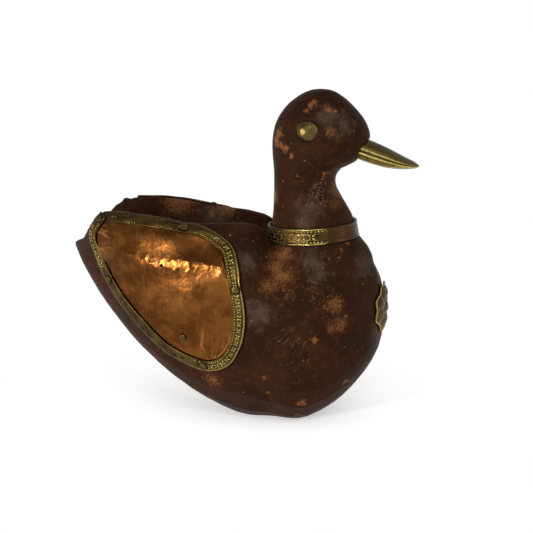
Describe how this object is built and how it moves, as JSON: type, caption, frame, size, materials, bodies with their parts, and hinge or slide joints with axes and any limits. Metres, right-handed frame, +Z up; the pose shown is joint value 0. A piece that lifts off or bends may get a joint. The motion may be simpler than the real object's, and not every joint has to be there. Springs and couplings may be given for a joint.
{
  "type": "wooden duck figurine",
  "caption": "Carved dark wood duck standing on a flat foot, with nailed copper wings edged in brass strip, and a brass beak, eyes, collar and breast rosette; a shelf ornament.",
  "frame": {"origin": "on the flat foot under the body, on the middle plane of the duck", "axes": "+X from tail to beak, +Y to the duck's left, +Z up"},
  "size_m": [0.2282, 0.104, 0.213],
  "materials": {
    "wood": "dark red-brown stain, satin, worn",
    "copper": "hammered sheet, tarnished",
    "brass": "stamped and filed, tarnished"
  },
  "bodies": {
    "root": {"body": "wood", "head": "wood", "neck_dowel": "wood", "wing_sheet_right": "copper", "wing_sheet_left": "copper", "beak": "brass", "collar": "brass", "breast_rosette": "brass", "rosette_pin_top": "brass", "rosette_pin_bottom": "brass", "eye_right": "brass", "eye_left": "brass", "wing_edging_right": "brass", "wing_edging_left": "brass", "wing_pin_right_tip": "brass", "wing_pin_right_top": "brass", "wing_pin_right_front": "brass", "wing_pin_right_low": "brass", "wing_pin_right_rear": "brass", "wing_pin_right_sheet": "brass", "wing_pin_left_tip": "brass", "wing_pin_left_top": "brass", "wing_pin_left_front": "brass", "wing_pin_left_low": "brass", "wing_pin_left_rear": "brass", "wing_pin_left_sheet": "brass"}
  },
  "joints": []
}
